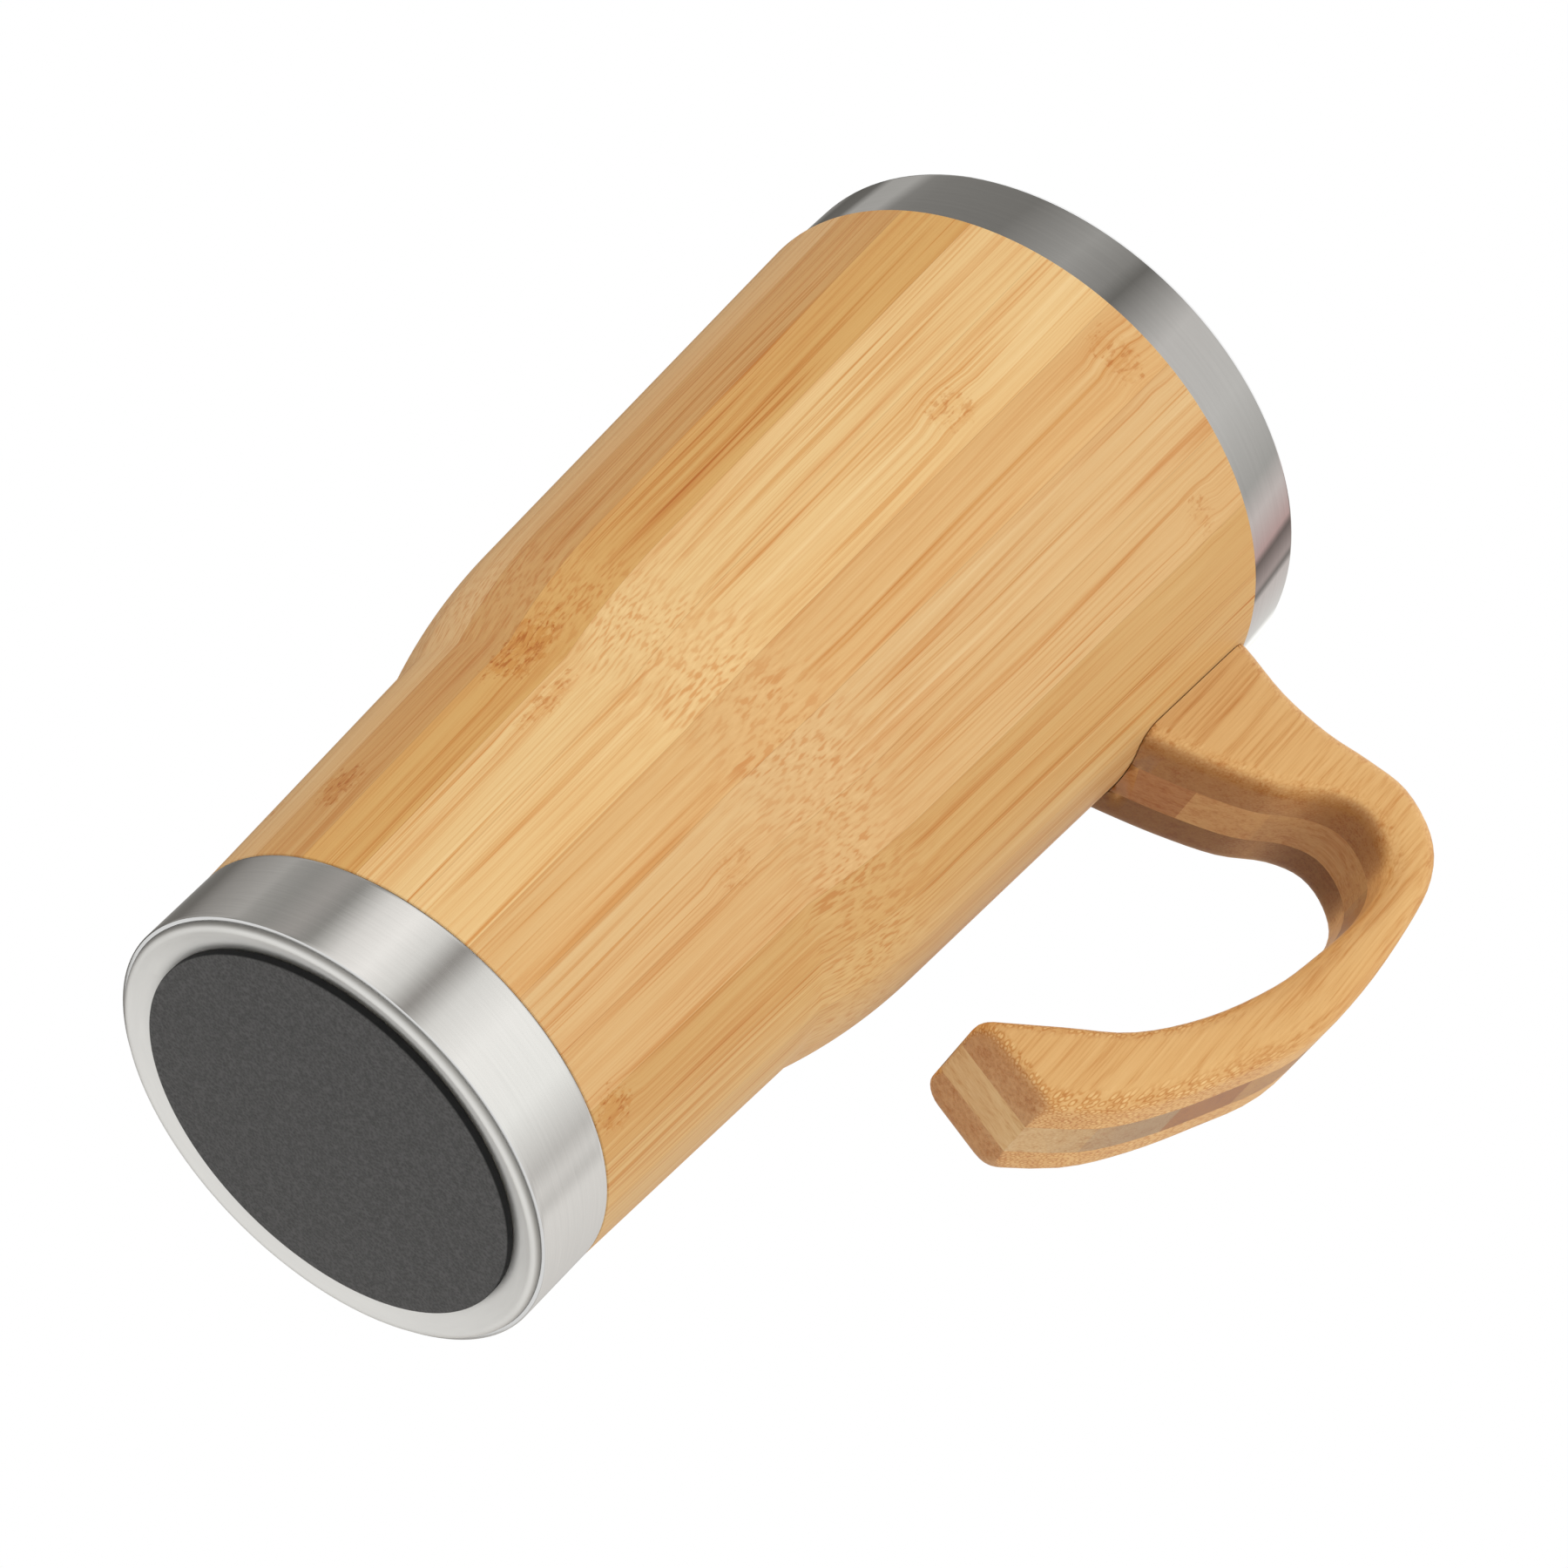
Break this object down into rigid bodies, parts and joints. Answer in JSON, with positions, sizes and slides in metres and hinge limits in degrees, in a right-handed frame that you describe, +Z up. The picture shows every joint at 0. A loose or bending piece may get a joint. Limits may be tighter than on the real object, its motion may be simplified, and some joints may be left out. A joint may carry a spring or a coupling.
{
  "type": "tumbler with handle",
  "caption": "Insulated bamboo travel tumbler with a steel liner, rim and foot, a non-slip base pad and an open hooked handle for carrying and drinking hot drinks.",
  "frame": {"origin": "centre of the foot pad's face, where the tumbler stands on the table", "axes": "+Z up along the axis of the body, towards the mouth; +X from the axis towards the handle; +Y completes a right-handed frame, across the handle"},
  "size_m": [0.1281, 0.086, 0.16],
  "materials": {
    "bamboo_light": "satin lacquered bamboo, light staves",
    "bamboo_mid": "satin lacquered bamboo",
    "bamboo_dark": "satin lacquered bamboo, darker staves",
    "bamboo_end_grain": "sanded bamboo end grain under lacquer",
    "steel_polished": "polished stainless steel",
    "steel_brushed": "stainless steel brushed round the axis",
    "steel_satin": "satin stainless steel",
    "pad_foam": "matte fine closed-cell foam",
    "adhesive_film": "double-sided adhesive film",
    "spacer_foam": "white foam",
    "screw_steel": "zinc-plated screws"
  },
  "bodies": {
    "root": {"stave_01": "bamboo_dark", "stave_02": "bamboo_mid", "stave_03": "bamboo_mid", "stave_04": "bamboo_light", "stave_05": "bamboo_mid", "stave_06": "bamboo_light", "stave_07": "bamboo_mid", "stave_08": "bamboo_dark", "stave_09": "bamboo_mid", "stave_10": "bamboo_light", "stave_11": "bamboo_mid", "stave_12": "bamboo_light", "stave_13": "bamboo_dark", "stave_14": "bamboo_mid", "stave_15": "bamboo_dark", "stave_16": "bamboo_dark", "stave_17": "bamboo_light", "stave_18": "bamboo_light", "stave_19": "bamboo_mid", "stave_20": "bamboo_mid", "stave_21": "bamboo_mid", "stave_22": "bamboo_mid", "stave_23": "bamboo_mid", "stave_24": "bamboo_mid", "rim_band": "steel_polished", "liner": "steel_satin", "foot_band": "steel_brushed", "foot_plate": "steel_satin", "foot_pad": "pad_foam", "pad_film": "adhesive_film", "liner_spacer": "spacer_foam", "handle_front_ply": "bamboo_mid", "handle_back_ply": "bamboo_mid", "handle_core_tip": "bamboo_light", "handle_core_lower": "bamboo_end_grain", "handle_core_grip": "bamboo_end_grain", "handle_core_upper": "bamboo_end_grain", "handle_core_bend": "bamboo_end_grain", "handle_core_arch": "bamboo_end_grain", "handle_core_root": "bamboo_end_grain", "handle_core_heel": "bamboo_dark", "handle_screws": "screw_steel"}
  },
  "joints": []
}
